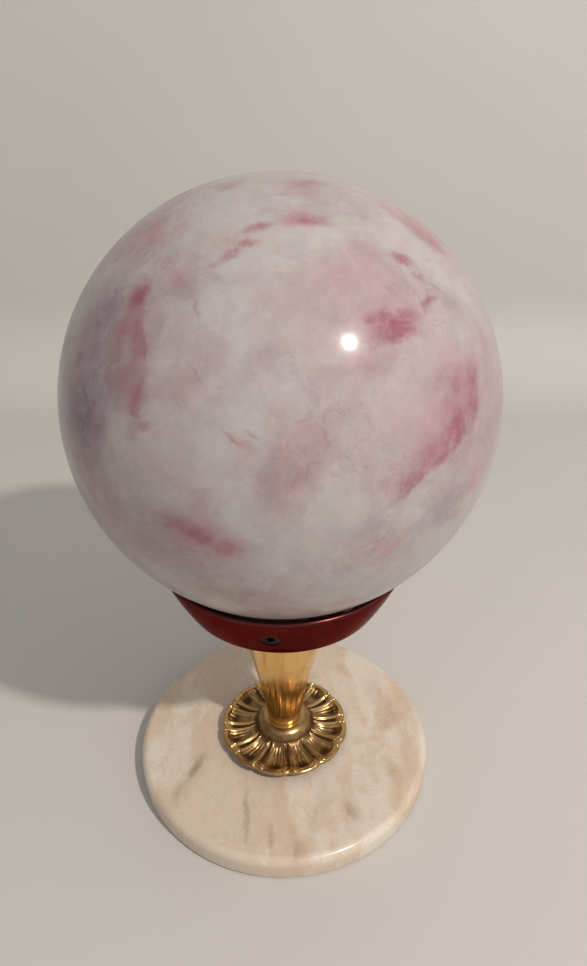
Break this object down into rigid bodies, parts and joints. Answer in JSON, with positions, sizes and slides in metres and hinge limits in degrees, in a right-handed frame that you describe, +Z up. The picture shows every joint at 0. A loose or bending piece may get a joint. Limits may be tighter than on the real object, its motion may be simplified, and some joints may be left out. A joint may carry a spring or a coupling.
{
  "type": "crystal ball",
  "caption": "Marbled glass ball on a stand: flared red cup, brass trumpet stem, cast rosette and round marble base.",
  "frame": {"origin": "centre of the felt pad's underside, on the table", "axes": "+Z up through the centres of base, stem and ball; the screw that faces the viewer is towards -Y, 6 degrees towards -X"},
  "size_m": [0.2, 0.2, 0.3317],
  "materials": {
    "marbled_glass": "polished, opaque pink and white marbling",
    "red_lacquer": "high gloss, dark ruby red",
    "polished_brass": "polished and lacquered",
    "antique_brass": "cast, darkened in the hollows, polished on the high points",
    "marble": "polished, warm cream with soft tan veins",
    "black_steel": "blackened",
    "zinc_steel": "zinc plated",
    "black_rubber": "matt",
    "fibre": "black vulcanised fibre",
    "ivory_nylon": "matt",
    "green_felt": "felt"
  },
  "bodies": {
    "stand": {"seat_gasket": "black_rubber", "cup": "red_lacquer", "thread_insert_1": "black_steel", "thread_insert_2": "black_steel", "thread_insert_3": "black_steel", "cup_nut": "zinc_steel", "cup_lock_washer": "zinc_steel", "cup_washer": "zinc_steel", "stem_top_bush": "zinc_steel", "stem": "polished_brass", "stem_foot_bush": "zinc_steel", "tie_rod": "zinc_steel", "rosette": "antique_brass", "rosette_gasket": "fibre", "marble_base": "marble", "base_washer": "zinc_steel", "base_lock_washer": "zinc_steel", "base_nut": "zinc_steel", "felt_pad": "green_felt"},
    "ball": {"ball": "marbled_glass"},
    "pad_1": {"soft_pad_1": "ivory_nylon"},
    "screw_1": {"retaining_screw_1": "black_steel"},
    "pad_2": {"soft_pad_2": "ivory_nylon"},
    "screw_2": {"retaining_screw_2": "black_steel"},
    "pad_3": {"soft_pad_3": "ivory_nylon"},
    "screw_3": {"retaining_screw_3": "black_steel"}
  },
  "joints": [
    {"name": "ball_lift", "type": "slide", "parent": "stand", "child": "ball", "axis": [0, 0, 1], "range_m": [0, 0.04]},
    {"name": "screw_1_travel", "type": "slide", "parent": "stand", "child": "pad_1", "axis": [-0.1045, -0.9945, 0], "range_m": [0, 0.003]},
    {"name": "screw_1_turn", "type": "hinge", "parent": "pad_1", "child": "screw_1", "pos_m": [-0.00575, -0.0547, 0.1377], "axis": [-0.1045, -0.9945, 0], "range_deg": [0, 1080]},
    {"name": "screw_2_travel", "type": "slide", "parent": "stand", "child": "pad_2", "axis": [0.9135, 0.4067, 0], "range_m": [0, 0.003]},
    {"name": "screw_2_turn", "type": "hinge", "parent": "pad_2", "child": "screw_2", "pos_m": [0.05024, 0.02237, 0.1377], "axis": [0.9135, 0.4067, 0], "range_deg": [0, 1080]},
    {"name": "screw_3_travel", "type": "slide", "parent": "stand", "child": "pad_3", "axis": [-0.809, 0.5878, 0], "range_m": [0, 0.003]},
    {"name": "screw_3_turn", "type": "hinge", "parent": "pad_3", "child": "screw_3", "pos_m": [-0.0445, 0.03233, 0.1377], "axis": [-0.809, 0.5878, 0], "range_deg": [0, 1080]}
  ],
  "couplings": [
    {"joint": "screw_1_turn", "follows": "screw_1_travel", "rad_per_m": 6283.2},
    {"joint": "screw_2_turn", "follows": "screw_2_travel", "rad_per_m": 6283.2},
    {"joint": "screw_3_turn", "follows": "screw_3_travel", "rad_per_m": 6283.2}
  ]
}
